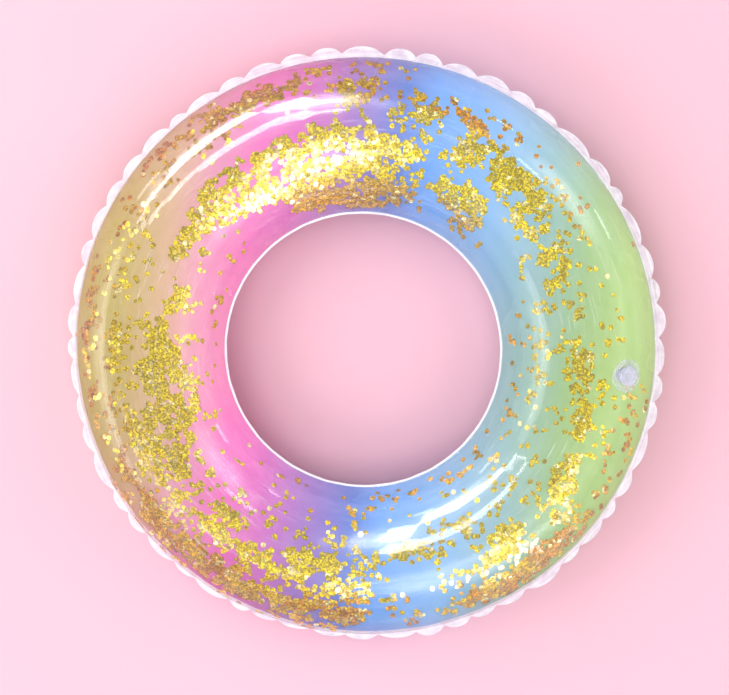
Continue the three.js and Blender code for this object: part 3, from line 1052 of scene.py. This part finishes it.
clear = clear_film()
printed = printed_film()
welded = welded_film()
valve_clear = milky_vinyl("valve_vinyl_clear", 0.12, (0.82, 0.84, 0.92))
valve_milky = milky_vinyl("valve_vinyl_milky", 0.42, (0.58, 0.60, 0.74))
foil = gold_foil()

front = build_film("front_film_clear", 1)
flange = build_flange(front)
cut_valve_hole(front)
back = build_film("back_film_printed", -1)
dress(front, clear, "ring", "clear_film", "front_film")
dress(back, printed, "ring", "printed_film", "back_film")
dress(build_outer_weld(), welded, "ring", "welded_film", "outer_weld")
dress(build_inner_weld(), welded, "ring", "welded_film", "inner_weld")
dress(flange, valve_clear, "ring", "valve_vinyl", "valve_flange")
dress(build_stem(), valve_milky, "valve_stem", "valve_vinyl", "valve_stem")
dress(build_cap(), valve_milky, "valve_cap", "valve_vinyl", "valve_cap")
dress(build_flap(), valve_clear, "check_flap", "valve_vinyl", "check_flap")
web = build_web()
dress(web, valve_clear, None, "valve_vinyl", "valve_web")
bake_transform(web)
strap = build_strap()
dress(strap, valve_milky, None, "valve_vinyl", "cap_strap")
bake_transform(strap)
for bed, node in build_glitter():
    dress(bed, foil, "ring", "gold_foil", node)

# ---------------------------------------------------------------- stage, light and camera


def build_floor():
    mesh = bpy.data.meshes.new("floor")
    half = 6.0
    corners = [(-half, -half, 0), (half, -half, 0), (half, half, 0), (-half, half, 0)]
    mesh.from_pydata(corners, [], [(0, 1, 2, 3)])
    floor = bpy.data.objects.new("floor", mesh)
    floor.location.z = -0.2 * MM
    mesh.materials.append(paper_floor())
    bpy.context.scene.collection.objects.link(floor)


RING_CENTRE = Vector((0, 0, MID_HEIGHT))


def placed(place, x, y, z):
    """The matrix of an object at `place` whose own axes point along x, y and z."""
    return Matrix.Translation(place) @ Matrix((x, y, z)).transposed().to_4x4()


def area_light(name, place, size, radiance, axes):
    """A rectangular lamp of this radiance, with its back along the last of its axes."""
    data = bpy.data.lights.new(name, "AREA")
    data.shape = "RECTANGLE"
    data.size, data.size_y = size
    data.energy = radiance * math.pi * size[0] * size[1]
    lamp = bpy.data.objects.new(name, data)
    lamp.matrix_world = placed(place, *axes)
    bpy.context.scene.collection.objects.link(lamp)
    return lamp


def soften_edges(lamp, share):
    """Fades a lamp out towards its edges, over this share of its width and height."""
    lamp.use_nodes = True
    tree = lamp.node_tree
    emission = next(node for node in tree.nodes if node.type == "EMISSION")
    place = tree.nodes.new("ShaderNodeNewGeometry").outputs["Parametric"]
    parts = tree.nodes.new("ShaderNodeSeparateXYZ")
    tree.links.new(place, parts.inputs[0])
    strength = tree.nodes.new("ShaderNodeMath")
    strength.operation = "MULTIPLY"
    for k in range(2):
        middle = tree.nodes.new("ShaderNodeMath")
        middle.operation = "SUBTRACT"
        middle.inputs[1].default_value = 0.5
        tree.links.new(parts.outputs[k], middle.inputs[0])
        away = tree.nodes.new("ShaderNodeMath")
        away.operation = "ABSOLUTE"
        tree.links.new(middle.outputs[0], away.inputs[0])
        fade = tree.nodes.new("ShaderNodeMapRange")
        fade.interpolation_type = "SMOOTHSTEP"
        for socket, value in zip(list(fade.inputs)[1:5], (0.5 - share, 0.5, 1.0, 0.0)):
            socket.default_value = value
        tree.links.new(away.outputs[0], fade.inputs[0])
        tree.links.new(fade.outputs[0], strength.inputs[k])
    tree.links.new(strength.outputs[0], emission.inputs["Strength"])


def softbox(name, direction, panels, distance=3.2, diffuse=False, glossy=True, soft=0.0):
    """Lamps on one plane that faces the ring, with the panels' middles measured right and up from
    the plane's own. They light surfaces only if `diffuse`, and show in glossy ones only if
    `glossy`. `soft` is the share of their width and height over which they fade out."""
    z = Vector(direction).normalized()
    x = Vector((0, 1, 0) if abs(z.z) > 0.99 else (0, 0, 1)).cross(z).normalized()
    y = z.cross(x)
    for i, ((right, up), size, radiance) in enumerate(panels):
        place = RING_CENTRE + distance * z + right * x + up * y
        lamp = area_light(f"{name}_{i}", place, size, radiance, (x, y, z))
        if soft:
            soften_edges(lamp.data, soft)
        lamp.visible_diffuse = diffuse
        lamp.visible_glossy = glossy


KEY_DIRECTION = (-0.54, 0.48, 0.69)
FILL_DIRECTION = (0.66, 0.45, 0.60)
SIDE_DIRECTION = (-0.86, -0.12, 0.50)
WASH_DIRECTIONS = [KEY_DIRECTION, (0, 0, 1), (1, 0.2, 0.7), (-1, -0.3, 0.7), (0, -1, 0.7)]
WASH_RADIANCE = 2.95
# Panels of the lamps: middle, size and radiance.
KEY_PANELS = [
    ((-0.1, 0.9), (0.7, 0.5), 11.0),
    ((0.42, 0.78), (0.34, 0.36), 10.0),
    ((0.7, 0.62), (0.22, 0.24), 9.0),
    ((-0.25, -0.76), (1.3, 0.68), 17.0),
    ((0.62, -0.62), (0.44, 0.42), 15.0),
    ((0.92, -0.36), (0.16, 0.28), 11.0),
    ((0.9, 0.15), (0.1, 0.7), 8.0),
    ((-0.7, 1.0), (0.5, 0.75), 14.0),
    ((-1.2, 0.05), (0.6, 1.1), 14.0),
]
GLOW_PANELS = [((-1.5, 0.5), (1.9, 2.4), 9.0), ((-0.1, -1.2), (2.4, 1.0), 5.0)]
WASH_PANELS = [((0, 0), (2.8, 2.8), WASH_RADIANCE)]
FILL_PANELS = [((0, 0), (2.4, 3.0), 5.0)]
SIDE_PANELS = [((0.2, 0.05), (3.6, 0.8), 2.2)]
SIDE_LOW_PANELS = [((0.2, -0.55), (3.8, 2.0), 2.6)]
WINDOW_PANELS = [((0, 0), (0.42, 0.2), 7.0)]
# Heights between which the sky fades, and its strength at each.
HORIZON_FADE = (0.04, 0.34, 0.95, 0.18)
WINDOW_DIRECTIONS = [
    (0.51, 0.81, 0.31),
    (-0.46, 0.81, 0.37),
    (0.43, 0.43, 0.79),
    (-0.845, 0.493, 0.21),
    (0.89, 0.41, 0.18),
]


def build_world():
    """A pale studio, bright round the horizon and dimmer overhead."""
    world = bpy.data.worlds.new("studio")
    world.use_nodes = True
    tree = world.node_tree
    background = tree.nodes["Background"]
    background.inputs["Color"].default_value = (1.0, 0.955, 0.97, 1)
    place = tree.nodes.new("ShaderNodeTexCoord")
    parts = tree.nodes.new("ShaderNodeSeparateXYZ")
    fade = tree.nodes.new("ShaderNodeMapRange")
    fade.interpolation_type = "SMOOTHSTEP"
    for socket, value in zip(list(fade.inputs)[1:5], HORIZON_FADE):
        socket.default_value = value
    tree.links.new(place.outputs["Generated"], parts.inputs[0])
    tree.links.new(parts.outputs[2], fade.inputs[0])
    tree.links.new(fade.outputs[0], background.inputs["Strength"])
    bpy.context.scene.world = world


def build_lights():
    """A tapered window above left and a glow round it, a wash that only lights, a fill and a side
    lamp that only mirror, and small far windows."""
    softbox("key", KEY_DIRECTION, KEY_PANELS)
    softbox("glow", KEY_DIRECTION, GLOW_PANELS, distance=3.4, soft=0.5)
    for i, direction in enumerate(WASH_DIRECTIONS):
        softbox(f"wash_{i}", direction, WASH_PANELS, distance=3.8, diffuse=True, glossy=False)
    softbox("fill", FILL_DIRECTION, FILL_PANELS, distance=3.8, soft=0.5)
    softbox("side", SIDE_DIRECTION, SIDE_PANELS, distance=3.8, soft=0.1)
    softbox("side_low", SIDE_DIRECTION, SIDE_LOW_PANELS, distance=4.0, soft=0.35)
    for i, direction in enumerate(WINDOW_DIRECTIONS):
        softbox(f"window_{i}", direction, WINDOW_PANELS)
    build_world()


VIEW_TILT_X = math.radians(4.18)
VIEW_TILT_Y = math.radians(8.11)
VIEW_DISTANCE = 1.993
LENS = 88.41
CENTRE_SHIFT = (2.0 * MM, 3.6 * MM)


def build_camera():
    toward = Vector((math.sin(VIEW_TILT_X), math.sin(VIEW_TILT_Y), 0))
    toward.z = math.sqrt(1 - toward.length_squared)
    right = Vector((0, 1, 0)).cross(toward).normalized()
    up = toward.cross(right)
    data = bpy.data.cameras.new("camera")
    data.lens = LENS
    data.sensor_width = 36
    data.clip_start = 0.01
    camera = bpy.data.objects.new("camera", data)
    place = RING_CENTRE + VIEW_DISTANCE * toward + CENTRE_SHIFT[0] * right + CENTRE_SHIFT[1] * up
    camera.matrix_world = placed(place, right, up, toward)
    bpy.context.scene.collection.objects.link(camera)
    bpy.context.scene.camera = camera


build_floor()
build_lights()
build_camera()
bpy.context.scene.view_settings.view_transform = "Standard"
